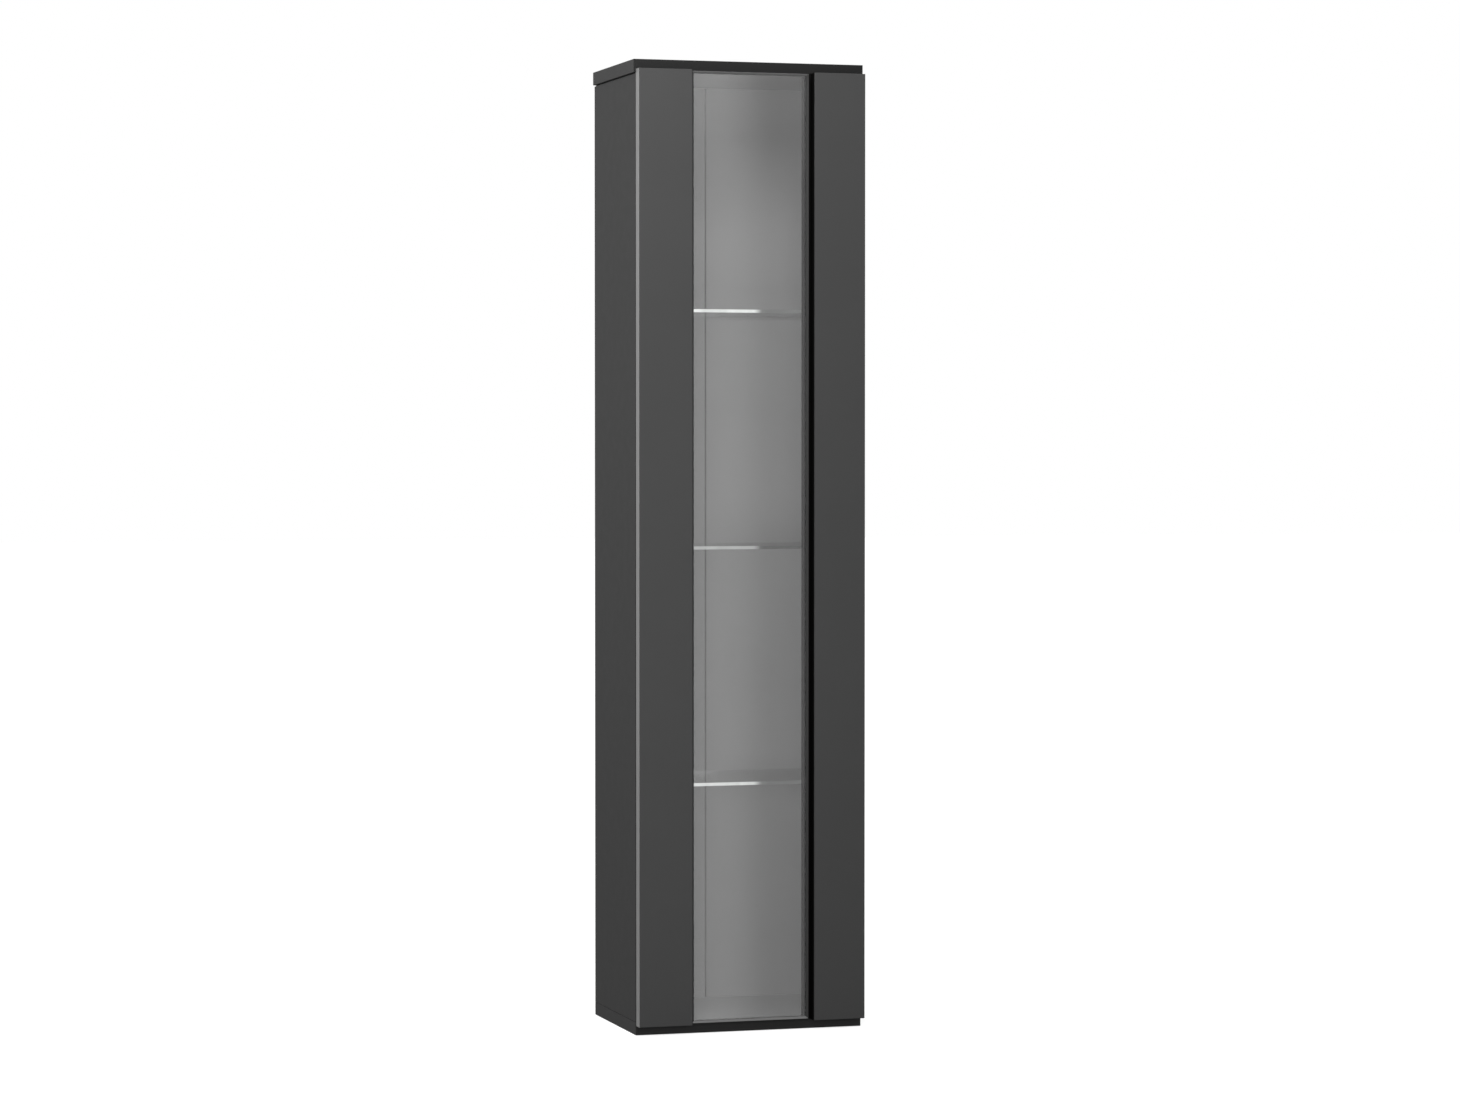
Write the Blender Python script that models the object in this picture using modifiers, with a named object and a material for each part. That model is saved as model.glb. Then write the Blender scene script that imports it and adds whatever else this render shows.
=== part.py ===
"""Tall display cabinet with one hinged glass door, built as separate named pieces.

World metres, +Z up, front towards -Y, origin at the middle of the base's underside.
All driving dimensions below are in millimetres.
"""
import math

import bmesh
import bpy
from mathutils import Matrix, Vector

MM = 0.001

# Overall carcass
HEIGHT = 1850.0
CARCASS_W = 450.0
CARCASS_D = 300.0
FRONT_D = 25.0
CARCASS_FRONT_Y = -(CARCASS_D + FRONT_D) / 2 + FRONT_D
CARCASS_BACK_Y = CARCASS_FRONT_Y + CARCASS_D
LEFT_X = -CARCASS_W / 2
RIGHT_X = CARCASS_W / 2

# Boards
SIDE_T = 16.0
SLAB_T = 25.0
TOP_OVERHANG = 3.0
FIT_GAP = 0.3
BOARD_BEVEL = 0.6
SHADOW_GROOVE_H = 2.2
SHADOW_GROOVE_D = 3.0

# Back panel halves, the rebate they sit in and the profile that joins them
BACK_T = 3.0
REBATE_W = 8.0
REBATE_D = 5.0
BACK_INSET = 1.8
JOINT_FLANGE_W = 14.0
JOINT_FLANGE_T = 1.0
JOINT_WEB_T = 1.6

# Front: door strip, framed pane, grip gap and fixed strip
FRONT_T = 22.0
STRIP_W = 105.0
FIXED_STRIP_W = 103.4
STRIP_BOTTOM_Z = 18.0
STRIP_TOP_Z = 1831.0
STRIP_BEVEL = 0.8
DOOR_EDGE_X = 111.7
DOOR_GAP = 3.0
FRAME_BOTTOM_Z = 22.0
FRAME_TOP_Z = 1828.0
FRAME_W = 4.0
FRAME_D = 20.0
FRAME_BEVEL = 3.5
FRAME_MITRE_GAP = 0.2
GLASS_T = 4.0
GLASS_SLOT_FRONT = 4.6
GLASS_SLOT_DEPTH = 2.2
GRIP_T = 1.0
GRIP_BACK_T = 2.3
GRIP_LAP = 7.0

# Glass shelves and their supports
SHELF_T = 6.0
SHELF_COUNT = 3
SHELF_FRONT_SETBACK = 8.0
SHELF_D = 282.0
SHELF_SIDE_CLEARANCE = 2.0
PIN_R = 2.5
PIN_HOLE_R = 2.8
PIN_HOLE_DEPTH = 9.0
PIN_SHANK = 8.0
PIN_COLLAR_R = 4.5
PIN_COLLAR_T = 1.2
PIN_NOSE = 9.0
PIN_SETBACKS = (45.0, 245.0)

# Concealed hinges; plan positions are measured from the carcass's front left corner
HINGE_HEIGHTS = (120.0, 985.0, 1730.0)
CUP_CENTRE = 22.5
CUP_BORE_R = 17.5
CUP_BORE_DEPTH = 12.5
CUP_R = 17.2
CUP_INNER_R = 16.0
CUP_DEPTH = 12.2
CUP_FLOOR_T = 1.0
CUP_FLANGE_R = 18.8
CUP_FLANGE_T = 0.9
DOOR_AXIS = (8.0, -21.0)
LINK_L = 26.0
LINK_HALF_W = 2.0
ELBOW_EYE_R = 2.6
ARM_PIVOT = (28.0, -3.0)
CUP_PIVOT = (31.0, -6.0)
ARM_LINK_ANGLE = 37.06
CUP_LINK_ANGLE = 45.89
PIVOT_R = 1.0
PIVOT_HOLE_R = 1.3
ELBOW_HOLE_R = 1.85
ARM_Z = (-7.0, -1.2)
ARM_LINK_Z = (-0.9, 1.1)
CUP_LINK_Z = (1.4, 3.4)
PLATE_T = 2.5
PLATE_Y = (20.0, 56.0)
PLATE_HALF_H = 24.0
ARM_OUTLINE = (
    (19.1, 54.0),
    (19.1, 8.0),
    (25.6, -3.4),
    (26.6, -5.1),
    (28.4, -5.5),
    (30.0, -4.6),
    (30.5, -2.6),
    (29.0, 6.0),
    (27.0, 12.0),
    (27.0, 54.0),
)
ROUND_STEPS = 24
CUP_STEPS = 40

for leftover in list(bpy.data.objects):
    bpy.data.objects.remove(leftover, do_unlink=True)

parts_collection = bpy.data.collections.new("china_cabinet")
bpy.context.scene.collection.children.link(parts_collection)
cutters_collection = bpy.data.collections.new("cutters")
bpy.context.scene.collection.children.link(cutters_collection)


def material(name, colour, roughness, metallic=0.0, alpha=1.0):
    """Principled material with the three plain settings."""
    made = bpy.data.materials.new(name)
    made.use_nodes = True
    shader = made.node_tree.nodes["Principled BSDF"]
    shader.inputs["Base Color"].default_value = (*colour, 1.0)
    shader.inputs["Roughness"].default_value = roughness
    shader.inputs["Metallic"].default_value = metallic
    shader.inputs["Alpha"].default_value = alpha
    return made


def add_object(name, mesh, location=(0, 0, 0), rotation=(0, 0, 0), collection=None):
    """Link a mesh as an object; location in millimetres, rotation in radians."""
    made = bpy.data.objects.new(name, mesh)
    (collection or parts_collection).objects.link(made)
    made.location = Vector(location) * MM
    made.rotation_euler = rotation
    return made


def finish(bm, name):
    """Turn a bmesh drawn in millimetres into a mesh in metres."""
    bmesh.ops.scale(bm, vec=(MM, MM, MM), verts=bm.verts)
    bmesh.ops.recalc_face_normals(bm, faces=bm.faces)
    mesh = bpy.data.meshes.new(name)
    bm.to_mesh(mesh)
    bm.free()
    return mesh


def add_cuboid(bm, low, high):
    """Add an axis-aligned cuboid between two corners."""
    size = [b - a for a, b in zip(low, high)]
    middle = [(a + b) / 2 for a, b in zip(low, high)]
    placing = Matrix.Translation(middle) @ Matrix.Diagonal((*size, 1.0))
    bmesh.ops.create_cube(bm, size=1.0, matrix=placing)


def add_cylinder(bm, radius, start, end, steps=ROUND_STEPS):
    """Add a cylinder between two points."""
    start = Vector(start)
    end = Vector(end)
    along = end - start
    turn = along.to_track_quat("Z", "Y").to_matrix().to_4x4()
    bmesh.ops.create_cone(
        bm,
        cap_ends=True,
        segments=steps,
        radius1=radius,
        radius2=radius,
        depth=along.length,
        matrix=Matrix.Translation((start + end) / 2) @ turn,
    )


def bevel(target, width, segments=2):
    """Round every edge of a piece a little."""
    modifier = target.modifiers.new("edge_rounding", "BEVEL")
    modifier.width = width * MM
    modifier.segments = segments
    modifier.limit_method = "ANGLE"


def combine(target, tool, operation):
    """Cut from or join to a piece with a helper solid."""
    modifier = target.modifiers.new(tool.name, "BOOLEAN")
    modifier.operation = operation
    modifier.solver = "EXACT"
    modifier.object = tool


def helper(name, bm):
    """Store a cutting or joining solid outside the rendered parts."""
    made = add_object(name, finish(bm, name), collection=cutters_collection)
    made.hide_render = True
    made.display_type = "WIRE"
    return made


def board(name, low, high, surface, rounding=BOARD_BEVEL):
    """A flat board between two corners, its origin in its middle."""
    middle = [(a + b) / 2 for a, b in zip(low, high)]
    bm = bmesh.new()
    add_cuboid(bm, [a - m for a, m in zip(low, middle)], [b - m for b, m in zip(high, middle)])
    made = add_object(name, finish(bm, name), location=middle)
    made.data.materials.append(surface)
    bevel(made, rounding)
    return made


def prism(name, outline, low, high, surface, location=(0, 0, 0), rotation=(0, 0, 0)):
    """A plan outline drawn up from one height to another."""
    bm = bmesh.new()
    ring = [bm.verts.new((x, y, low)) for x, y in outline]
    face = bm.faces.new(ring)
    drawn = bmesh.ops.extrude_face_region(bm, geom=[face])
    raised = [item for item in drawn["geom"] if isinstance(item, bmesh.types.BMVert)]
    bmesh.ops.translate(bm, vec=(0, 0, high - low), verts=raised)
    made = add_object(name, finish(bm, name), location=location, rotation=rotation)
    made.data.materials.append(surface)
    return made


def turned(name, outline, surface, location, rotation, steps=ROUND_STEPS):
    """A turned piece from a (radius, height) outline that starts and ends on the axis."""
    bm = bmesh.new()
    points = [bm.verts.new((radius, 0, height)) for radius, height in outline]
    edges = [bm.edges.new(pair) for pair in zip(points, points[1:])]
    bmesh.ops.spin(
        bm,
        geom=points + edges,
        axis=(0, 0, 1),
        cent=(0, 0, 0),
        steps=steps,
        angle=math.tau,
        use_merge=True,
    )
    bmesh.ops.remove_doubles(bm, verts=bm.verts, dist=0.0001)
    made = add_object(name, finish(bm, name), location=location, rotation=rotation)
    made.data.materials.append(surface)
    return made


def shelf_centres():
    """Shelf heights that share the inside of the carcass equally."""
    clear = HEIGHT - 2 * SLAB_T - SHELF_COUNT * SHELF_T
    pitch = clear / (SHELF_COUNT + 1) + SHELF_T
    return [SLAB_T + pitch * (index + 1) - SHELF_T / 2 for index in range(SHELF_COUNT)]


def pin_heights():
    """Heights of the pin axes just under each shelf."""
    return [centre - SHELF_T / 2 - FIT_GAP - PIN_R for centre in shelf_centres()]


def side_panel(name, side, surface):
    """One side board with a shadow groove outside, a back rebate and blind pin holes inside."""
    outer = side * CARCASS_W / 2
    inner = side * (CARCASS_W / 2 - SIDE_T)
    low_z = SLAB_T + FIT_GAP
    high_z = HEIGHT - SLAB_T - FIT_GAP
    low = (min(outer, inner), CARCASS_FRONT_Y, low_z)
    high = (max(outer, inner), CARCASS_BACK_Y, high_z)
    made = board(name, low, high, surface)
    bm = bmesh.new()
    groove_x = sorted((outer - side * SHADOW_GROOVE_D, outer + side))
    add_cuboid(
        bm,
        (groove_x[0], CARCASS_FRONT_Y - 1, high_z - SHADOW_GROOVE_H),
        (groove_x[1], CARCASS_BACK_Y + 1, high_z + 1),
    )
    rebate_x = sorted((inner - side, inner + side * REBATE_W))
    add_cuboid(
        bm,
        (rebate_x[0], CARCASS_BACK_Y - REBATE_D, low_z - 1),
        (rebate_x[1], CARCASS_BACK_Y + 1, high_z + 1),
    )
    for height in pin_heights():
        for setback in PIN_SETBACKS:
            y = CARCASS_FRONT_Y + setback
            start = (inner - side, y, height)
            end = (inner + side * PIN_HOLE_DEPTH, y, height)
            add_cylinder(bm, PIN_HOLE_R, start, end)
    combine(made, helper(name + "_cuts", bm), "DIFFERENCE")


def slab(name, low_z, half_width, rebate_at_top, surface):
    """Top or base board with a rebate for the back panel."""
    low = (-half_width, CARCASS_FRONT_Y, low_z)
    high = (half_width, CARCASS_BACK_Y, low_z + SLAB_T)
    made = board(name, low, high, surface)
    inside_z = low_z + SLAB_T if rebate_at_top else low_z
    inward = -1 if rebate_at_top else 1
    rebate_z = sorted((inside_z - inward, inside_z + inward * REBATE_W))
    reach = CARCASS_W / 2 - SIDE_T + REBATE_W
    bm = bmesh.new()
    add_cuboid(
        bm,
        (-reach, CARCASS_BACK_Y - REBATE_D, rebate_z[0]),
        (reach, CARCASS_BACK_Y + 1, rebate_z[1]),
    )
    combine(made, helper(name + "_rebate", bm), "DIFFERENCE")


def back_panels(surface, joint_surface):
    """Two thin back halves with a T-shaped profile behind their seam."""
    reach = CARCASS_W / 2 - SIDE_T + REBATE_W - FIT_GAP
    inner = JOINT_WEB_T / 2 + FIT_GAP
    low_z = SLAB_T - REBATE_W + FIT_GAP
    high_z = HEIGHT - low_z
    rear = CARCASS_BACK_Y - BACK_INSET
    front = rear - BACK_T
    board("back_panel_left", (-reach, front, low_z), (-inner, rear, high_z), surface, 0.2)
    board("back_panel_right", (inner, front, low_z), (reach, rear, high_z), surface, 0.2)
    flange = JOINT_FLANGE_W / 2
    web = JOINT_WEB_T / 2
    rear_in = rear + FIT_GAP
    outline = (
        (-web, front),
        (web, front),
        (web, rear_in),
        (flange, rear_in),
        (flange, rear_in + JOINT_FLANGE_T),
        (-flange, rear_in + JOINT_FLANGE_T),
        (-flange, rear_in),
        (-web, rear_in),
    )
    prism(
        "back_joint_profile", outline, SLAB_T + FIT_GAP, HEIGHT - SLAB_T - FIT_GAP, joint_surface
    )


def fixed_strip(surface):
    """The right-hand front strip, fixed to the carcass."""
    front = CARCASS_FRONT_Y - FRONT_D
    low = (RIGHT_X - FIXED_STRIP_W + FIT_GAP + GRIP_T, front, STRIP_BOTTOM_Z)
    high = (RIGHT_X, front + FRONT_T, STRIP_TOP_Z)
    board("front_strip_right", low, high, surface, STRIP_BEVEL)


def grip_profile(surface):
    """L-shaped dark profile lining the grip gap and backing the fixed strip."""
    front = CARCASS_FRONT_Y - FRONT_D
    lining = RIGHT_X - FIXED_STRIP_W
    back_front = front + FRONT_T + FIT_GAP
    back_rear = back_front + GRIP_BACK_T
    right = RIGHT_X - FIT_GAP
    outline = (
        (lining, front + FIT_GAP),
        (lining + GRIP_T, front + FIT_GAP),
        (lining + GRIP_T, back_front),
        (right, back_front),
        (right, back_rear),
        (DOOR_EDGE_X - GRIP_LAP, back_rear),
        (DOOR_EDGE_X - GRIP_LAP, back_front),
        (lining, back_front),
    )
    prism("grip_profile", outline, STRIP_BOTTOM_Z + FIT_GAP, STRIP_TOP_Z - FIT_GAP, surface)


def door_strip(surface):
    """The left-hand strip of the door, bored at the back for the hinge cups."""
    front = CARCASS_FRONT_Y - FRONT_D
    low = (LEFT_X, front, STRIP_BOTTOM_Z)
    high = (LEFT_X + STRIP_W, front + FRONT_T, STRIP_TOP_Z)
    made = board("door_strip_left", low, high, surface, STRIP_BEVEL)
    bm = bmesh.new()
    centre_x = LEFT_X + CUP_CENTRE
    for height in HINGE_HEIGHTS:
        start = (centre_x, front + FRONT_T - CUP_BORE_DEPTH, height)
        end = (centre_x, front + FRONT_T + 1, height)
        add_cylinder(bm, CUP_BORE_R, start, end, CUP_STEPS)
    combine(made, helper("door_strip_bores", bm), "DIFFERENCE")


def frame_member(name, length, location, turn, surface):
    """One mitred, bevelled frame member; local X points to the glass, local Z runs along it."""
    slot_rear = GLASS_SLOT_FRONT + GLASS_T + 2 * FIT_GAP
    bottom = FRAME_W - GLASS_SLOT_DEPTH
    outline = (
        (0.0, 0.0),
        (FRAME_W - FRAME_BEVEL, 0.0),
        (FRAME_W, FRAME_BEVEL),
        (FRAME_W, GLASS_SLOT_FRONT),
        (bottom, GLASS_SLOT_FRONT),
        (bottom, slot_rear),
        (FRAME_W, slot_rear),
        (FRAME_W, FRAME_D),
        (0.0, FRAME_D),
    )
    made = prism(name, outline, -1.0, 1.0, surface, location, (0, turn, 0))
    reach = (length / 2 - FRAME_MITRE_GAP) * MM
    for vertex in made.data.vertices:
        vertex.co.z = math.copysign(reach - vertex.co.x, vertex.co.z)


def door_frame(surface):
    """Four frame members round the pane."""
    left = LEFT_X + STRIP_W + FIT_GAP
    right = DOOR_EDGE_X
    front = CARCASS_FRONT_Y - DOOR_GAP - FRAME_D
    width = right - left
    height = FRAME_TOP_Z - FRAME_BOTTOM_Z
    middle_x = (left + right) / 2
    middle_z = (FRAME_TOP_Z + FRAME_BOTTOM_Z) / 2
    frame_member("door_frame_left", height, (left, front, middle_z), 0, surface)
    frame_member("door_frame_top", width, (middle_x, front, FRAME_TOP_Z), math.pi / 2, surface)
    frame_member("door_frame_right", height, (right, front, middle_z), math.pi, surface)
    frame_member(
        "door_frame_bottom", width, (middle_x, front, FRAME_BOTTOM_Z), -math.pi / 2, surface
    )


def door_glass(surface):
    """The pane, its edges inside the frame slots."""
    edge = FRAME_W - GLASS_SLOT_DEPTH + FIT_GAP
    front = CARCASS_FRONT_Y - DOOR_GAP - FRAME_D + GLASS_SLOT_FRONT + FIT_GAP
    low = (LEFT_X + STRIP_W + FIT_GAP + edge, front, FRAME_BOTTOM_Z + edge)
    high = (DOOR_EDGE_X - edge, front + GLASS_T, FRAME_TOP_Z - edge)
    board("door_glass", low, high, surface, 0.4)


def shelves(surface, pin_surface):
    """Glass shelves, each resting on four pins."""
    half = CARCASS_W / 2 - SIDE_T - SHELF_SIDE_CLEARANCE
    front = CARCASS_FRONT_Y + SHELF_FRONT_SETBACK
    for number, centre in enumerate(shelf_centres(), start=1):
        low = (-half, front, centre - SHELF_T / 2)
        high = (half, front + SHELF_D, centre + SHELF_T / 2)
        board("glass_shelf_%d" % number, low, high, surface, 0.5)
    outline = (
        (0.0, -PIN_SHANK),
        (PIN_R - 0.5, -PIN_SHANK),
        (PIN_R, -PIN_SHANK + 0.5),
        (PIN_R, FIT_GAP),
        (PIN_COLLAR_R, FIT_GAP),
        (PIN_COLLAR_R, FIT_GAP + PIN_COLLAR_T),
        (PIN_R, FIT_GAP + PIN_COLLAR_T),
        (PIN_R, PIN_NOSE - 0.6),
        (PIN_R - 0.6, PIN_NOSE),
        (0.0, PIN_NOSE),
    )
    for number, height in enumerate(pin_heights(), start=1):
        for side, side_name in ((-1, "left"), (1, "right")):
            for setback, depth_name in zip(PIN_SETBACKS, ("front", "rear")):
                name = "shelf_pin_%d_%s_%s" % (number, side_name, depth_name)
                x = side * (CARCASS_W / 2 - SIDE_T)
                place = (x, CARCASS_FRONT_Y + setback, height)
                turned(name, outline, pin_surface, place, (0, -side * math.pi / 2, 0))


def plan_point(point, height):
    """World position of a hinge plan point."""
    return (LEFT_X + point[0], CARCASS_FRONT_Y + point[1], height)


def hinge_plate(name, height, surface):
    """The mounting plate on the side panel."""
    near = LEFT_X + SIDE_T + FIT_GAP
    low = (near, CARCASS_FRONT_Y + PLATE_Y[0], height - PLATE_HALF_H)
    high = (near + PLATE_T, CARCASS_FRONT_Y + PLATE_Y[1], height + PLATE_HALF_H)
    board(name, low, high, surface, 0.5)


def hinge_arm(name, height, surface):
    """The fixed arm that reaches forward into the cup and carries the first pivot pin."""
    made = prism(name, ARM_OUTLINE, *ARM_Z, surface, plan_point((0, 0), height))
    bm = bmesh.new()
    start = plan_point(ARM_PIVOT, height + ARM_Z[0] + 1)
    end = plan_point(ARM_PIVOT, height + ARM_LINK_Z[1])
    add_cylinder(bm, PIVOT_R, start, end)
    combine(made, helper(name + "_pin", bm), "UNION")


def link_outline(start_r):
    """Plan outline of a link along +X from the pivot, with round ends."""
    outline = []
    for step in range(9):
        angle = math.pi / 2 + math.pi * step / 8
        outline.append((start_r * math.cos(angle), start_r * math.sin(angle)))
    for step in range(9):
        angle = -math.pi / 2 + math.pi * step / 8
        x = LINK_L + ELBOW_EYE_R * math.cos(angle)
        outline.append((x, ELBOW_EYE_R * math.sin(angle)))
    return outline


def link_end(pivot, angle):
    """Plan position of a link's far end."""
    turn = math.radians(angle)
    return (pivot[0] + LINK_L * math.cos(turn), pivot[1] + LINK_L * math.sin(turn))


def arm_link(name, height, surface):
    """Link between the arm and the elbow; it carries the elbow pin."""
    turn = (0, 0, math.radians(ARM_LINK_ANGLE))
    outline = link_outline(LINK_HALF_W)
    made = prism(name, outline, *ARM_LINK_Z, surface, plan_point(ARM_PIVOT, height), turn)
    hole = bmesh.new()
    start = plan_point(ARM_PIVOT, height + ARM_LINK_Z[0] - 1)
    end = plan_point(ARM_PIVOT, height + ARM_LINK_Z[1] + 1)
    add_cylinder(hole, PIVOT_HOLE_R, start, end)
    combine(made, helper(name + "_hole", hole), "DIFFERENCE")
    elbow = link_end(ARM_PIVOT, ARM_LINK_ANGLE)
    pin = bmesh.new()
    start = plan_point(elbow, height + ARM_LINK_Z[0] + 0.5)
    end = plan_point(elbow, height + CUP_LINK_Z[1] + 0.4)
    add_cylinder(pin, PIVOT_R, start, end)
    combine(made, helper(name + "_pin", pin), "UNION")


def cup_link(name, height, surface):
    """Link between the cup and the elbow, with a roomy eye at the elbow."""
    turn = (0, 0, math.radians(CUP_LINK_ANGLE))
    outline = link_outline(LINK_HALF_W)
    made = prism(name, outline, *CUP_LINK_Z, surface, plan_point(CUP_PIVOT, height), turn)
    holes = bmesh.new()
    elbow = link_end(CUP_PIVOT, CUP_LINK_ANGLE)
    for point, radius in ((CUP_PIVOT, PIVOT_HOLE_R), (elbow, ELBOW_HOLE_R)):
        start = plan_point(point, height + CUP_LINK_Z[0] - 1)
        end = plan_point(point, height + CUP_LINK_Z[1] + 1)
        add_cylinder(holes, radius, start, end)
    combine(made, helper(name + "_holes", holes), "DIFFERENCE")


def hinge_cup(name, height, surface):
    """The cup in the door strip, carrying the second pivot pin across its mouth."""
    outline = (
        (0.0, -CUP_DEPTH),
        (CUP_R, -CUP_DEPTH),
        (CUP_R, FIT_GAP),
        (CUP_FLANGE_R, FIT_GAP),
        (CUP_FLANGE_R, FIT_GAP + CUP_FLANGE_T),
        (CUP_INNER_R, FIT_GAP + CUP_FLANGE_T),
        (CUP_INNER_R, -CUP_DEPTH + CUP_FLOOR_T),
        (0.0, -CUP_DEPTH + CUP_FLOOR_T),
    )
    door_back = -(FRONT_D - FRONT_T)
    place = plan_point((CUP_CENTRE, door_back), height)
    made = turned(name, outline, surface, place, (-math.pi / 2, 0, 0), CUP_STEPS)
    offset = CUP_PIVOT[0] - CUP_CENTRE
    half_chord = math.sqrt(CUP_INNER_R ** 2 - offset ** 2)
    bm = bmesh.new()
    start = plan_point(CUP_PIVOT, height + CUP_LINK_Z[0] - 0.2)
    end = plan_point(CUP_PIVOT, height + half_chord + 0.6)
    add_cylinder(bm, PIVOT_R, start, end)
    combine(made, helper(name + "_pin", bm), "UNION")


def hang_door():
    """Parent every door piece to an empty on the axis the door turns about."""
    axis = add_object("door_axis", None, location=plan_point(DOOR_AXIS, 0))
    for piece in parts_collection.objects:
        if piece.name.startswith(("door_strip", "door_frame", "door_glass", "hinge_cup_")):
            piece.parent = axis
            piece.matrix_parent_inverse = Matrix.Translation(-axis.location)


def hinges(steel):
    """All concealed hinges."""
    for number, height in enumerate(HINGE_HEIGHTS, start=1):
        hinge_plate("hinge_plate_%d" % number, height, steel)
        hinge_arm("hinge_arm_%d" % number, height, steel)
        hinge_cup("hinge_cup_%d" % number, height, steel)
        arm_link("hinge_arm_link_%d" % number, height, steel)
        cup_link("hinge_cup_link_%d" % number, height, steel)


def build():
    """Make every piece of the cabinet."""
    board_paint = material("anthracite_board", (0.045, 0.046, 0.048), 0.45)
    gloss_front = material("anthracite_gloss_front", (0.05, 0.051, 0.053), 0.25)
    back_board = material("grey_back_board", (0.2, 0.2, 0.205), 0.6)
    joint_plastic = material("grey_joint_plastic", (0.08, 0.08, 0.082), 0.5)
    frame_alloy = material("dark_frame_alloy", (0.1, 0.1, 0.105), 0.35, 0.6)
    grip_black = material("black_grip_profile", (0.01, 0.01, 0.01), 0.5)
    clear_glass = material("clear_glass", (0.85, 0.9, 0.88), 0.05, 0.0, 0.3)
    steel = material("nickel_plated_steel", (0.6, 0.6, 0.6), 0.3, 1.0)
    side_panel("side_panel_left", -1, board_paint)
    side_panel("side_panel_right", 1, board_paint)
    slab("base_panel", 0.0, CARCASS_W / 2, True, board_paint)
    slab("top_panel", HEIGHT - SLAB_T, CARCASS_W / 2 + TOP_OVERHANG, False, board_paint)
    back_panels(back_board, joint_plastic)
    fixed_strip(gloss_front)
    grip_profile(grip_black)
    door_strip(gloss_front)
    door_frame(frame_alloy)
    door_glass(clear_glass)
    shelves(clear_glass, steel)
    hinges(steel)
    hang_door()


build()
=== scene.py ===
"""Looks for the tall display cabinet: materials, small details, studio light and camera."""
import math

import bmesh
import bpy
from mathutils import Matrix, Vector


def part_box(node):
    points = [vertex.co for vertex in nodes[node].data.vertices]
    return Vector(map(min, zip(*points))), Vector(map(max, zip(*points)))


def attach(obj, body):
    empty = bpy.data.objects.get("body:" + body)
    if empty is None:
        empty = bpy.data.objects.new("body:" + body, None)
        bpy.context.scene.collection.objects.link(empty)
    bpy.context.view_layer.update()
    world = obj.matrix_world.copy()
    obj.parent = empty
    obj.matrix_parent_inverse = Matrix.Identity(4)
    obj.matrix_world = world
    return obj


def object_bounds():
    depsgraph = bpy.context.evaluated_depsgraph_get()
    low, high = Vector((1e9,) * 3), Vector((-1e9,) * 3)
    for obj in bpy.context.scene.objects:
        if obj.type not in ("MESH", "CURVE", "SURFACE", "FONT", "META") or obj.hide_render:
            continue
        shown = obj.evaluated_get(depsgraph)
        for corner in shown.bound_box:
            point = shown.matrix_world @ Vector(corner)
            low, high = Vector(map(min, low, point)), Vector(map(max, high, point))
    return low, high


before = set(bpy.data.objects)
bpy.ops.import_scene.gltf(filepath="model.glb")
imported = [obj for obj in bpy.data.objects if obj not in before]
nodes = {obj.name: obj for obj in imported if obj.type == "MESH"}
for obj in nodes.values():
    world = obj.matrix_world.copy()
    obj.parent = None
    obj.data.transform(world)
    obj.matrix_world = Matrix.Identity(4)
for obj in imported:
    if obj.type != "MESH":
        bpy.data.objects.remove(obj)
cad_bounds = [list(corner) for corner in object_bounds()]
LOW = Vector(cad_bounds[0])

# Camera: place and reach in metres, angles in degrees, lens and sensor in millimetres
CAMERA_PLACE = (-2.2743, -7.5698, 1.1181)
CAMERA_TURN = -16.745
CAMERA_TILT = -1.427
CAMERA_LENS = 100.405
CAMERA_SENSOR = 36.0
CAMERA_REACH = 200.0

# Surface colours, linear
WHITE = (1.0, 1.0, 1.0)
BOARD_COLOUR = (0.014, 0.014, 0.014)
BOARD_INSIDE_COLOUR = (0.17, 0.17, 0.17)
TOP_EDGE_COLOUR = (0.004, 0.004, 0.004)
# The base's front edging is the same dark edging as the top's, made twice as light as painted bounce
# light from the floor
BASE_EDGE_BOUNCE_COLOUR = (0.008, 0.008, 0.008)
TOP_COLOUR = (0.030, 0.030, 0.030)
FRONT_COLOUR = (0.018, 0.018, 0.018)
BACK_COLOUR = (0.155, 0.155, 0.155)
EDGE_BAND_COLOUR = (0.15, 0.15, 0.15)
# The door frame is one dark powder coat; its cross members are made lighter than the uprights as
# painted light, for how the light falls on them
FRAME_UPRIGHT_COLOUR = (0.020, 0.020, 0.020)
FRAME_CROSS_PAINTED_LIGHT_COLOUR = (0.08, 0.08, 0.08)
JOINT_COLOUR = (0.010, 0.010, 0.010)
GRIP_COLOUR = (0.002, 0.002, 0.002)
# Painted shade for the dark lines at the base seam and at the back's centre seam
SEAM_SHADE_COLOUR = (0.004, 0.004, 0.004)
STEEL_DARK = (0.5, 0.5, 0.49)
STEEL_LIGHT = (0.66, 0.66, 0.64)
PANE_TINT = (0.94, 0.94, 0.94)
SHELF_TINT = (0.95, 0.955, 0.952)
SHELF_RIM_GLOW_COLOUR = (0.97, 1.0, 0.98)

# How far a mottled colour strays from its mean, as a share
BOARD_SPREAD = 0.04
FRONT_SPREAD = 0.06
BACK_SPREAD = 0.03
EDGE_BAND_SPREAD = 0.15
MOULDED_SPREAD = 0.15
FRAME_SPREAD = 0.1

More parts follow.
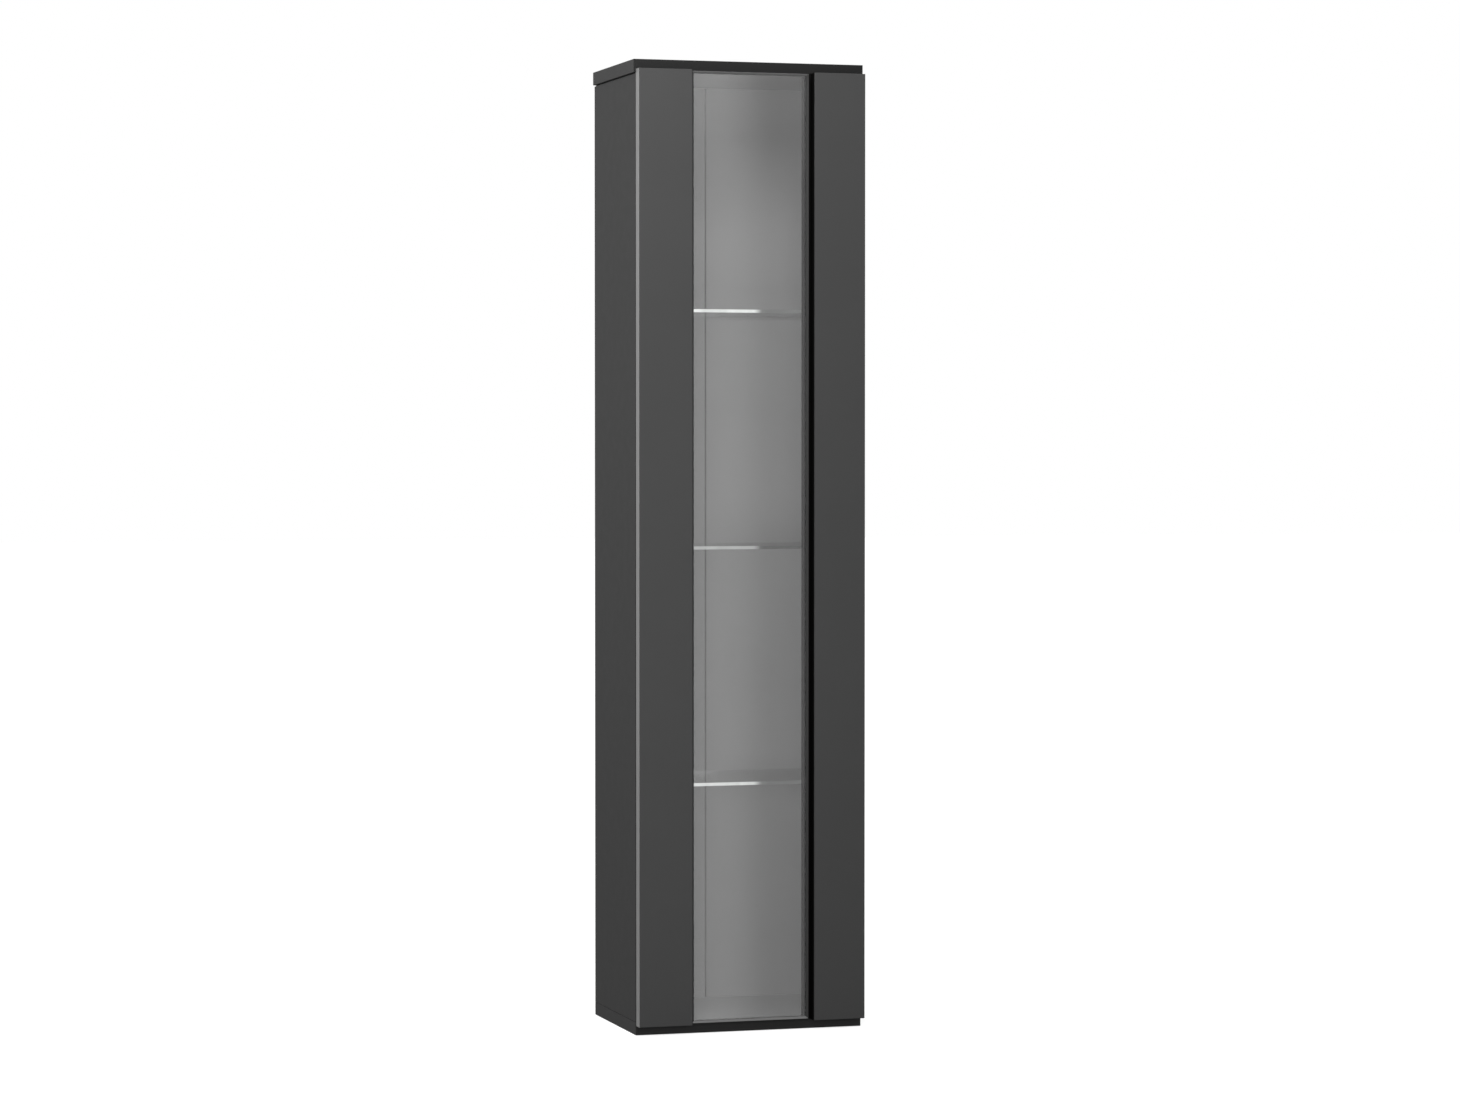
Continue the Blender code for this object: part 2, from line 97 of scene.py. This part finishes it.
# Shine: roughness from the low to the high end of the noise, specular level, metal share
NOISE_RANGE = (0.3, 0.7)
BOARD_ROUGH = (0.525, 0.54)
FRONT_ROUGH = (0.32, 0.35)
BACK_ROUGH = (0.6, 0.72)
JOINT_ROUGH = (0.45, 0.55)
GRIP_ROUGH = (0.5, 0.6)
FRAME_ROUGH = (0.34, 0.42)
STEEL_ROUGH = (0.22, 0.34)
PANE_ROUGH = (0.005, 0.03)
PANE_WIPE_RANGE = (0.3, 0.8)
SHELF_ROUGH = 0.01
PLAIN_SPECULAR = 0.5
BOARD_SPECULAR = 0.25
TOP_SPECULAR = 0.13
FRONT_SPECULAR = 0.3
JOINT_SPECULAR = 0.3
GRIP_SPECULAR = 0.05
FRAME_METAL = 0.35
PANE_MIRROR = 0.07
SHELF_MIRROR = 0.02
FACING_BLEND = 0.5
FACING_POWER = 5.0

# Noise scales, in cycles per metre, and bump heights in metres
BOARD_MOTTLE = 6.0
BOARD_GRAIN = 1500.0
BOARD_SHINE = 40.0
BOARD_BUMP = 0.000003
FRONT_PEEL = 420.0
FRONT_MOTTLE = 9.0
FRONT_SHINE = 35.0
FRONT_BUMP = 0.00002
EDGE_BAND_STRETCH = (1, 900, 8)
BACK_MOTTLE = 22.0
BACK_FIBRE_STRETCH = (900, 900, 240)
BACK_BUMP = 0.000004
MOULDED_GRAIN = 2600.0
MOULDED_STRETCH = (260, 260, 5)
MOULDED_BUMP = 0.00003
FRAME_GRAIN = 1900.0
FRAME_UPRIGHT_STRETCH = (900, 900, 6)
FRAME_CROSS_STRETCH = (6, 900, 900)
FRAME_BUMP = 0.00003
STEEL_STRETCH = (1200, 300, 1200)
STEEL_BUMP = 0.00002
PANE_WIPE_STRETCH = (18, 18, 6)
RIPPLE_STRETCH = (60, 4, 4)

# Places on surfaces, in metres
SKIN = 0.0004
# Half width of the painted shade line at the base seam
SEAM_SHADE_HALF = 0.0008
# Half width of the painted shadow line at the back's centre seam
SEAM_SHADOW_REACH = 0.0015
EDGE_BAND_REACH = (0.0004, 0.0006)
SHELF_EDGE_REACH = (0.0006, 0.0009)

# Painted glow on the shelf edges, which are no lamp, standing in for a studio highlight on the polished
# glass: one glow level to a shelf from the bottom up
SHELF_PAINTED_GLOW = (0.74, 0.42, 0.92)
SHELF_SIDE_SHARE = 0.35
GLOW_FADE_X = (0.01, 0.03)
GLOW_RIGHT_SHARE = 0.2
RIPPLE_RANGE = (0.2, 0.8)
RIPPLE_LEVEL = (0.85, 1.1)

# Small fixings, in metres; cross recesses are in shares of the head, inward places in shares of
# the way to the centre
HEAD_RINGS = 8
HEAD_STEPS = 32
HEAD_SUNK = 0.0003
CROSS_REACH = 0.62
CROSS_HALF_WIDTH = 0.14
CROSS_DEPTH = 0.6
NAIL_R = 0.0028
NAIL_RISE = 0.0006
NAIL_EDGE = 0.004
NAIL_CORNER = 0.06
NAIL_COUNT = 12
NAIL_INWARD = (0.4, 0.75)
SCREW_R = 0.0036
SCREW_RISE = 0.0012
SCREW_EDGE = 0.008

# Studio floor and surroundings
WORLD_LEVEL = 0.92
WORLD_BELOW = 0.25
WORLD_HORIZON = (-0.2, 0.15)
FLOOR_LIFT = 0.75
FLOOR_DARK = (0.37, 0.37, 0.37)
FLOOR_LIGHT = (0.39, 0.39, 0.39)
FLOOR_MOTTLE = 3.0
FLOOR_HALF = 40.0
FLOOR_CELLS = 8
FLOOR_DROP = 0.0005

# Mirrored screen, in metres; its light fades over the soft borders and is lifted high up
SCREEN_Y = -3.0
SCREEN_X = (-1.6, 2.4)
SCREEN_Z = (-0.8, 2.8)
SCREEN_BRIGHT = 1.5
SCREEN_DIM = 0.8
SCREEN_FADE_X = (0.76, 0.94)
SCREEN_BORDER = 0.1
SCREEN_SOFT_LEFT = 1.1
SCREEN_SOFT_RIGHT = 0.8
SCREEN_SOFT_BELOW = 0.4
SCREEN_SOFT_ABOVE = 0.5
SCREEN_LIFT = 1.45
SCREEN_LIFT_Z = (1.76, 2.06)

# Studio lights, in metres and watts
KEY_PLACE = (-0.6, -1.6, 2.7)
KEY_AIM = (0.0, 0.0, 1.5)
KEY_SIZE = 0.9
KEY_POWER = 68.0
FILL_PLACE = (-1.0, -2.4, 0.6)
FILL_AIM = (0.0, 0.1, 1.9)
FILL_SIZE = 0.8
FILL_POWER = 48.0


class Nodes:
    """A small helper for writing a material's node tree."""

    def __init__(self, tree):
        self.tree = tree

    def add(self, kind, settings=None, **inputs):
        """Add a node; inputs are sockets to link or plain values."""
        node = self.tree.nodes.new(kind)
        for name, value in (settings or {}).items():
            setattr(node, name, value)
        for name, value in inputs.items():
            self.feed(node, name.replace("_", " "), value)
        return node

    def feed(self, node, name, value):
        """Give one input a link or a plain value; a digit means the input's place."""
        socket = node.inputs[int(name)] if name.isdigit() else node.inputs[name]
        if isinstance(value, bpy.types.NodeSocket):
            self.tree.links.new(value, socket)
        else:
            socket.default_value = value

    def math(self, operation, first, second=0.0):
        """Add a math node and return its output."""
        node = self.add("ShaderNodeMath", {"operation": operation})
        self.feed(node, "0", first)
        self.feed(node, "1", second)
        return node.outputs[0]

    def ramp(self, value, low, high, out_low=0.0, out_high=1.0):
        """Map a value smoothly between two limits."""
        node = self.add("ShaderNodeMapRange", {"interpolation_type": "SMOOTHSTEP"})
        self.feed(node, "Value", value)
        self.feed(node, "From Min", low)
        self.feed(node, "From Max", high)
        self.feed(node, "To Min", out_low)
        self.feed(node, "To Max", out_high)
        return node.outputs["Result"]

    def mix_colour(self, factor, first, second):
        """Mix two colours."""
        node = self.add("ShaderNodeMix", {"data_type": "RGBA"})
        self.feed(node, "0", factor)
        self.feed(node, "6", first)
        self.feed(node, "7", second)
        return node.outputs[2]

    def mix_shader(self, factor, first, second):
        """Mix two shaders."""
        node = self.add("ShaderNodeMixShader")
        self.feed(node, "0", factor)
        self.feed(node, "1", first)
        self.feed(node, "2", second)
        return node.outputs[0]

    def shade(self, factor, colour, spread):
        """Let a colour stray by a share either side of its mean."""
        return self.mix_colour(factor, colour4(colour, 1 - spread), colour4(colour, 1 + spread))

    def noise(self, vector, scale, detail=2.0):
        """Noise value at a place."""
        node = self.add("ShaderNodeTexNoise", Vector=vector, Scale=scale, Detail=detail)
        return node.outputs[0]

    def stretched_noise(self, vector, factors, detail=2.0):
        """Noise with its own scale along each axis."""
        node = self.add("ShaderNodeMapping", Vector=vector)
        self.feed(node, "Scale", factors)
        return self.noise(node.outputs[0], 1.0, detail)

    def split(self, vector):
        """The three numbers of a vector."""
        return self.add("ShaderNodeSeparateXYZ", Vector=vector).outputs

    def rough(self, noise, limits):
        """Roughness that follows a noise value between two limits."""
        return self.ramp(noise, *NOISE_RANGE, *limits)

    def mirror_share(self, straight):
        """Share of light a clear face mirrors, alike from both sides; straight is the share head-on."""
        weight = self.add("ShaderNodeLayerWeight", Blend=FACING_BLEND)
        slant = self.math("POWER", weight.outputs["Facing"], FACING_POWER)
        return self.math("ADD", straight, self.math("MULTIPLY", slant, 1.0 - straight))

    def solid(self, colour, rough, height, bump_height, specular=PLAIN_SPECULAR, metal=0.0):
        """The shader of a solid surface, with a bump that follows a height."""
        bump = self.add("ShaderNodeBump", Height=height, Distance=bump_height, Strength=1.0)
        shader = self.add("ShaderNodeBsdfPrincipled", Base_Color=colour, Roughness=rough)
        self.feed(shader, "Specular IOR Level", specular)
        self.feed(shader, "Metallic", metal)
        self.feed(shader, "Normal", bump.outputs[0])
        return shader.outputs[0]


def new_material(name):
    """An empty material with its node helper, output and object coordinates."""
    made = bpy.data.materials.new(name)
    made.use_nodes = True
    made.node_tree.nodes.clear()
    tools = Nodes(made.node_tree)
    output = tools.add("ShaderNodeOutputMaterial")
    place = tools.add("ShaderNodeTexCoord").outputs["Object"]
    return made, tools, output, place


def colour4(colour, factor=1.0):
    """A colour with alpha for a colour socket."""
    return (colour[0] * factor, colour[1] * factor, colour[2] * factor, 1.0)


def inside_mask(tools, x, z):
    """One inside the carcass, between its side, top and base boards, and zero outside."""
    inner_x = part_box("side_panel_right")[0].x + SKIN
    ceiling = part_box("top_panel")[0].z + SKIN
    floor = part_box("base_panel")[1].z - SKIN
    within_x = tools.ramp(tools.math("ABSOLUTE", x), inner_x, inner_x + SKIN, 1.0, 0.0)
    below = tools.ramp(z, ceiling, ceiling + SKIN, 1.0, 0.0)
    above = tools.ramp(z, floor - SKIN, floor)
    return tools.math("MULTIPLY", within_x, tools.math("MULTIPLY", below, above))


def board_material(name, board_colour, edge_colour, specular):
    """Melamine board: matt outside, grey inside the carcass, dark front edging, and a painted shade
    line along the seam over the base.
    """
    made, tools, output, place = new_material(name)
    x, y, z = tools.split(place)
    mottle = tools.noise(place, BOARD_MOTTLE, 3.0)
    inside = inside_mask(tools, x, z)
    outer = tools.shade(mottle, board_colour, BOARD_SPREAD)
    inner = tools.shade(mottle, BOARD_INSIDE_COLOUR, BOARD_SPREAD)
    colour = tools.mix_colour(inside, outer, inner)
    front_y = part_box("top_panel")[0].y + SKIN
    edging = tools.ramp(y, front_y, front_y + SKIN, 1.0, 0.0)
    colour = tools.mix_colour(edging, colour, colour4(edge_colour))
    # Painted shade: a dark band where the boards meet the base, outside the carcass only
    from_seam = tools.math("ABSOLUTE", tools.math("SUBTRACT", z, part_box("base_panel")[1].z))
    seam_shade = tools.ramp(from_seam, SEAM_SHADE_HALF, SEAM_SHADE_HALF + SKIN, 1.0, 0.0)
    seam_shade = tools.math("MULTIPLY", seam_shade, tools.math("SUBTRACT", 1.0, inside))
    colour = tools.mix_colour(seam_shade, colour, colour4(SEAM_SHADE_COLOUR))
    rough = tools.rough(tools.noise(place, BOARD_SHINE), BOARD_ROUGH)
    grain = tools.noise(place, BOARD_GRAIN)
    tools.feed(output, "Surface", tools.solid(colour, rough, grain, BOARD_BUMP, specular))
    return made


def front_material(name, band_x):
    """Satin lacquered front board, with a pale edge band from its left edge band_x if that is given."""
    made, tools, output, place = new_material(name)
    mottle = tools.noise(place, FRONT_MOTTLE, 3.0)
    colour = tools.shade(mottle, FRONT_COLOUR, FRONT_SPREAD)
    if band_x is not None:
        near, far = EDGE_BAND_REACH
        band = tools.ramp(tools.split(place)[0], band_x + near, band_x + far, 1.0, 0.0)
        band_grain = tools.stretched_noise(place, EDGE_BAND_STRETCH)
        band_colour = tools.shade(band_grain, EDGE_BAND_COLOUR, EDGE_BAND_SPREAD)
        colour = tools.mix_colour(band, colour, band_colour)
    rough = tools.rough(tools.noise(place, FRONT_SHINE, 3.0), FRONT_ROUGH)
    peel = tools.noise(place, FRONT_PEEL)
    tools.feed(output, "Surface", tools.solid(colour, rough, peel, FRONT_BUMP, FRONT_SPECULAR))
    return made


def back_material():
    """Painted hardboard with a faint paper grain and a painted shadow line along the centre seam."""
    made, tools, output, place = new_material("painted_hardboard")
    colour = tools.shade(tools.noise(place, BACK_MOTTLE, 4.0), BACK_COLOUR, BACK_SPREAD)
    # Painted shadow: a dark line either side of the centre seam between the back panels
    across = tools.math("ABSOLUTE", tools.split(place)[0])
    seam_shadow = tools.ramp(across, SEAM_SHADOW_REACH, SEAM_SHADOW_REACH + SKIN, 1.0, 0.0)
    colour = tools.mix_colour(seam_shadow, colour, colour4(SEAM_SHADE_COLOUR))
    fibre = tools.stretched_noise(place, BACK_FIBRE_STRETCH, 3.0)
    rough = tools.rough(fibre, BACK_ROUGH)
    tools.feed(output, "Surface", tools.solid(colour, rough, fibre, BACK_BUMP))
    return made


def moulded_material(name, colour, rough_limits, specular):
    """Dark moulded or extruded plastic with a fine spark-eroded grain."""
    made, tools, output, place = new_material(name)
    streak = tools.stretched_noise(place, MOULDED_STRETCH)
    shade = tools.shade(streak, colour, MOULDED_SPREAD)
    rough = tools.rough(streak, rough_limits)
    grain = tools.noise(place, MOULDED_GRAIN)
    tools.feed(output, "Surface", tools.solid(shade, rough, grain, MOULDED_BUMP, specular))
    return made


def frame_material(name, colour, stretch):
    """Powder-coated alloy with extrusion lines along its length."""
    made, tools, output, place = new_material(name)
    lines = tools.stretched_noise(place, stretch)
    shade = tools.shade(lines, colour, FRAME_SPREAD)
    rough = tools.rough(lines, FRAME_ROUGH)
    grain = tools.noise(place, FRAME_GRAIN)
    surface = tools.solid(shade, rough, grain, FRAME_BUMP, metal=FRAME_METAL)
    tools.feed(output, "Surface", surface)
    return made


def steel_material():
    """Nickel-plated pressed steel with faint rolling marks."""
    made, tools, output, place = new_material("nickel_plate")
    marks = tools.stretched_noise(place, STEEL_STRETCH)
    shade = tools.mix_colour(marks, colour4(STEEL_DARK), colour4(STEEL_LIGHT))
    rough = tools.rough(marks, STEEL_ROUGH)
    tools.feed(output, "Surface", tools.solid(shade, rough, marks, STEEL_BUMP, metal=1.0))
    return made


def clear_glass(tools, tint, roughness, straight):
    """Glass that mirrors more at a slant and lets the rest through with a faint tint."""
    clear = tools.add("ShaderNodeBsdfTransparent", Color=colour4(tint))
    mirror = tools.add("ShaderNodeBsdfGlossy", Roughness=roughness)
    return tools.mix_shader(tools.mirror_share(straight), clear.outputs[0], mirror.outputs[0])


def pane_material():
    """Clear float glass for the door, with faint wipe marks in what it mirrors."""
    made, tools, output, place = new_material("float_glass_pane")
    wipe = tools.stretched_noise(place, PANE_WIPE_STRETCH, 4.0)
    roughness = tools.ramp(wipe, *PANE_WIPE_RANGE, *PANE_ROUGH)
    tools.feed(output, "Surface", clear_glass(tools, PANE_TINT, roughness, PANE_MIRROR))
    return made


def shelf_material(low, high, painted_glow_level):
    """Float glass shelf: clear across its faces, with a painted glow on its polished edges that stands
    in for a highlight and fades towards the right.
    """
    made, tools, output, place = new_material("float_glass_shelf_painted_glow")
    x, y = tools.split(place)[:2]
    near, far = SHELF_EDGE_REACH
    front = tools.ramp(y, low.y + near, low.y + far, 1.0, 0.0)
    sides = tools.ramp(tools.math("ABSOLUTE", x), high.x - far, high.x - near)
    rear = tools.ramp(y, high.y - far, high.y - near)
    others = tools.math("MULTIPLY", tools.math("MAXIMUM", sides, rear), SHELF_SIDE_SHARE)
    edge = tools.math("MAXIMUM", front, others)
    # Painted highlight: the edge glow fades to a fifth towards the right and ripples along its length
    glow = tools.ramp(x, *GLOW_FADE_X, 1.0, GLOW_RIGHT_SHARE)
    ripple = tools.ramp(tools.stretched_noise(place, RIPPLE_STRETCH), *RIPPLE_RANGE, *RIPPLE_LEVEL)
    strength = tools.math("MULTIPLY", tools.math("MULTIPLY", glow, ripple), painted_glow_level)
    painted_rim_glow = tools.add("ShaderNodeEmission", Color=colour4(SHELF_RIM_GLOW_COLOUR), Strength=strength)
    face = clear_glass(tools, SHELF_TINT, SHELF_ROUGH, SHELF_MIRROR)
    tools.feed(output, "Surface", tools.mix_shader(edge, face, painted_rim_glow.outputs[0]))
    return made


def floor_material():
    """Seamless studio floor: a quiet grey in bounced light, lifted to near white for the eye."""
    made, tools, output, place = new_material("studio_floor")
    mottle = tools.noise(place, FLOOR_MOTTLE, 3.0)
    colour = tools.mix_colour(mottle, colour4(FLOOR_DARK), colour4(FLOOR_LIGHT))
    matt = tools.add("ShaderNodeBsdfDiffuse", Color=colour)
    seen = tools.add("ShaderNodeLightPath").outputs["Is Camera Ray"]
    lift = tools.add("ShaderNodeEmission", Strength=tools.math("MULTIPLY", seen, FLOOR_LIFT))
    both = tools.add("ShaderNodeAddShader")
    tools.feed(both, "0", matt.outputs[0])
    tools.feed(both, "1", lift.outputs[0])
    tools.feed(output, "Surface", both.outputs[0])
    return made


def dress(names, surface):
    """Give CAD nodes a material."""
    for name in names:
        slots = nodes[name].data.materials
        slots.clear()
        slots.append(surface)


def named(prefix):
    """CAD nodes whose names start with a prefix."""
    return sorted(name for name in nodes if name.startswith(prefix))


def link_new(name, bm):
    """Turn a finished bmesh into an object in the scene."""
    mesh = bpy.data.meshes.new(name)
    bm.to_mesh(mesh)
    bm.free()
    made = bpy.data.objects.new(name, mesh)
    bpy.context.scene.collection.objects.link(made)
    return made


def add_head(bm, centre, normal, radius, height, recessed):
    """One domed fastener head on a surface, with a pressed cross recess if recessed."""
    turn = Vector(normal).to_track_quat("Z", "Y").to_matrix()
    loops = []
    for ring in range(1, HEAD_RINGS + 2):
        share = min(ring / HEAD_RINGS, 1.0)
        loop = []
        for step in range(HEAD_STEPS):
            angle = 2 * math.pi * step / HEAD_STEPS
            x = radius * share * math.cos(angle)
            y = radius * share * math.sin(angle)
            rise = height * math.sqrt(1 - share * share)
            if ring > HEAD_RINGS:
                rise = -HEAD_SUNK
            if recessed and share < CROSS_REACH and min(abs(x), abs(y)) < radius * CROSS_HALF_WIDTH:
                rise -= height * CROSS_DEPTH
            loop.append(bm.verts.new(turn @ Vector((x, y, rise)) + Vector(centre)))
        loops.append(loop)
    crown = height * (1 - CROSS_DEPTH) if recessed else height
    middle = bm.verts.new(turn @ Vector((0.0, 0.0, crown)) + Vector(centre))
    for step in range(HEAD_STEPS):
        after = (step + 1) % HEAD_STEPS
        bm.faces.new((middle, loops[0][step], loops[0][after]))
        for inner, outer in zip(loops, loops[1:]):
            bm.faces.new((inner[step], outer[step], outer[after], inner[after]))
    bm.faces.new(reversed(loops[-1]))


def add_heads(name, places, normal, radius, height, recessed, surface):
    """A row of fastener heads fixed to the carcass, as one piece."""
    bm = bmesh.new()
    for place in places:
        add_head(bm, place, normal, radius, height, recessed)
    heads = link_new(name, bm)
    for face in heads.data.polygons:
        face.use_smooth = not recessed and len(face.vertices) <= 4
    heads.data.materials.append(surface)
    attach(heads, "carcass")


def add_back_nails(surface):
    """Nail heads round the outer edges of both back panels."""
    for side in ("left", "right"):
        low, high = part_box("back_panel_" + side)
        outer_x = low.x + NAIL_EDGE if side == "left" else high.x - NAIL_EDGE
        first, last = low.z + NAIL_CORNER, high.z - NAIL_CORNER
        pitch = (last - first) / (NAIL_COUNT - 1)
        places = [(outer_x, high.y, first + pitch * count) for count in range(NAIL_COUNT)]
        for share in NAIL_INWARD:
            nail_x = outer_x * (1 - share)
            places += [(nail_x, high.y, low.z + NAIL_EDGE), (nail_x, high.y, high.z - NAIL_EDGE)]
        add_heads("back_nails_" + side, places, (0, 1, 0), NAIL_R, NAIL_RISE, False, surface)


def add_plate_screws(surface):
    """Two cross-recessed screws through each hinge mounting plate."""
    for name in named("hinge_plate"):
        low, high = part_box(name)
        middle_y = (low.y + high.y) / 2
        places = [(high.x, middle_y, low.z + SCREW_EDGE), (high.x, middle_y, high.z - SCREW_EDGE)]
        title = name.replace("hinge_plate", "plate_screws")
        add_heads(title, places, (1, 0, 0), SCREW_R, SCREW_RISE, True, surface)


def dress_cabinet():
    """Give every CAD node its finished material and add the small fixings."""
    uprights = frame_material("frame_upright", FRAME_UPRIGHT_COLOUR, FRAME_UPRIGHT_STRETCH)
    # The cross members' lighter colour is painted light on the same powder coat
    crosses = frame_material("frame_cross_painted_light", FRAME_CROSS_PAINTED_LIGHT_COLOUR, FRAME_CROSS_STRETCH)
    sides = board_material("matt_melamine_side", BOARD_COLOUR, TOP_EDGE_COLOUR, BOARD_SPECULAR)
    top = board_material("matt_melamine_top", TOP_COLOUR, TOP_EDGE_COLOUR, TOP_SPECULAR)
    # The base's lighter edging is painted bounce light from the floor
    base = board_material("matt_melamine_base", BOARD_COLOUR, BASE_EDGE_BOUNCE_COLOUR, BOARD_SPECULAR)
    dress(named("side_panel"), sides)
    dress(["top_panel"], top)
    dress(["base_panel"], base)
    dress(["door_strip_left"], front_material("satin_front_left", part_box("door_strip_left")[0].x))
    dress(["front_strip_right"], front_material("satin_front_right", None))
    dress(named("back_panel"), back_material())
    joint = moulded_material("joint_profile", JOINT_COLOUR, JOINT_ROUGH, JOINT_SPECULAR)
    grip = moulded_material("grip_profile", GRIP_COLOUR, GRIP_ROUGH, GRIP_SPECULAR)
    dress(["back_joint_profile"], joint)
    dress(["grip_profile"], grip)
    dress(["door_frame_left", "door_frame_right"], uprights)
    dress(["door_frame_top", "door_frame_bottom"], crosses)
    dress(["door_glass"], pane_material())
    # Each shelf gets its own level of painted edge glow
    for name, painted_glow_level in zip(named("glass_shelf"), SHELF_PAINTED_GLOW):
        dress([name], shelf_material(*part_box(name), painted_glow_level))
    steel = steel_material()
    dress(named("hinge_") + named("shelf_pin"), steel)
    add_back_nails(steel)
    add_plate_screws(steel)


def add_floor():
    """The studio floor."""
    bm = bmesh.new()
    bmesh.ops.create_grid(bm, x_segments=FLOOR_CELLS, y_segments=FLOOR_CELLS, size=FLOOR_HALF)
    floor = link_new("studio_floor", bm)
    floor.location = (0.0, 0.0, LOW.z - FLOOR_DROP)
    floor.data.materials.append(floor_material())
    floor.visible_glossy = False


def add_area_light(name, place, aim, size, power, mirrored):
    """A soft square studio light pointed at a spot."""
    data = bpy.data.lights.new(name, "AREA")
    data.shape = "RECTANGLE"
    data.size = size
    data.size_y = size
    data.energy = power
    light = bpy.data.objects.new(name, data)
    light.location = place
    light.rotation_euler = (Vector(aim) - Vector(place)).to_track_quat("-Z", "Y").to_euler()
    light.visible_camera = False
    light.visible_glossy = mirrored
    bpy.context.scene.collection.objects.link(light)


def add_world():
    """White backdrop for the camera; for lighting, even above the horizon and dim below it."""
    world = bpy.data.worlds.new("studio_world")
    bpy.context.scene.world = world
    world.use_nodes = True
    world.node_tree.nodes.clear()
    tools = Nodes(world.node_tree)
    output = tools.add("ShaderNodeOutputWorld")
    upward = tools.split(tools.add("ShaderNodeTexCoord").outputs["Generated"])[2]
    level = tools.ramp(upward, *WORLD_HORIZON, WORLD_BELOW, WORLD_LEVEL)
    seen = tools.add("ShaderNodeLightPath").outputs["Is Camera Ray"]
    unseen_level = tools.math("MULTIPLY", level, tools.math("SUBTRACT", 1.0, seen))
    strength = tools.math("MAXIMUM", seen, unseen_level)
    light = tools.add("ShaderNodeBackground", Color=colour4(WHITE), Strength=strength)
    tools.feed(output, "Surface", light.outputs[0])


def screen_material(centre, half_x, half_z):
    """Screen light: bright at the left, dimmer at the right, lifted high up, soft at its borders."""
    made, tools, output, place = new_material("light_screen")
    across, upward = tools.split(place)[:2]
    left, right = -half_x, half_x
    bottom, top = -half_z, half_z
    start, end = (edge - centre[0] for edge in SCREEN_FADE_X)
    lift_start, lift_end = (height - centre[1] for height in SCREEN_LIFT_Z)
    level = tools.ramp(across, start, end, SCREEN_BRIGHT, SCREEN_DIM)
    shares = (
        tools.ramp(across, left, left + SCREEN_SOFT_LEFT, SCREEN_BORDER, 1.0),
        tools.ramp(across, right - SCREEN_SOFT_RIGHT, right, 1.0, SCREEN_BORDER),
        tools.ramp(upward, bottom, bottom + SCREEN_SOFT_BELOW, SCREEN_BORDER, 1.0),
        tools.ramp(upward, top - SCREEN_SOFT_ABOVE, top, 1.0, SCREEN_BORDER),
        tools.ramp(upward, lift_start, lift_end, 1.0, SCREEN_LIFT),
    )
    for share in shares:
        level = tools.math("MULTIPLY", level, share)
    glow = tools.add("ShaderNodeEmission", Strength=level)
    tools.feed(output, "Surface", glow.outputs[0])
    return made


def add_screen():
    """A large lit screen in front of the cabinet, mirrored in the pane."""
    centre = (sum(SCREEN_X) / 2, sum(SCREEN_Z) / 2)
    size = (SCREEN_X[1] - SCREEN_X[0], SCREEN_Z[1] - SCREEN_Z[0])
    bm = bmesh.new()
    bmesh.ops.create_grid(bm, x_segments=1, y_segments=1, size=0.5)
    bmesh.ops.scale(bm, vec=(size[0], size[1], 1.0), verts=bm.verts)
    screen = link_new("light_screen", bm)
    screen.location = (centre[0], SCREEN_Y, centre[1])
    screen.rotation_euler = (math.radians(90.0), 0.0, 0.0)
    screen.data.materials.append(screen_material(centre, size[0] / 2, size[1] / 2))
    screen.visible_camera = False


def add_camera():
    """A long-lens camera a little above the cabinet's middle, tilted slightly down."""
    data = bpy.data.cameras.new("camera")
    data.sensor_fit = "HORIZONTAL"
    data.sensor_width = CAMERA_SENSOR
    data.lens = CAMERA_LENS
    data.clip_end = CAMERA_REACH
    camera = bpy.data.objects.new("camera", data)
    camera.location = CAMERA_PLACE
    camera.rotation_euler = (math.radians(90.0 + CAMERA_TILT), 0.0, math.radians(CAMERA_TURN))
    bpy.context.scene.collection.objects.link(camera)
    bpy.context.scene.camera = camera


dress_cabinet()
add_floor()
add_world()
add_screen()
add_area_light("key_upper_left", KEY_PLACE, KEY_AIM, KEY_SIZE, KEY_POWER, True)
add_area_light("fill_low", FILL_PLACE, FILL_AIM, FILL_SIZE, FILL_POWER, False)
add_camera()
bpy.context.scene.view_settings.view_transform = "Standard"
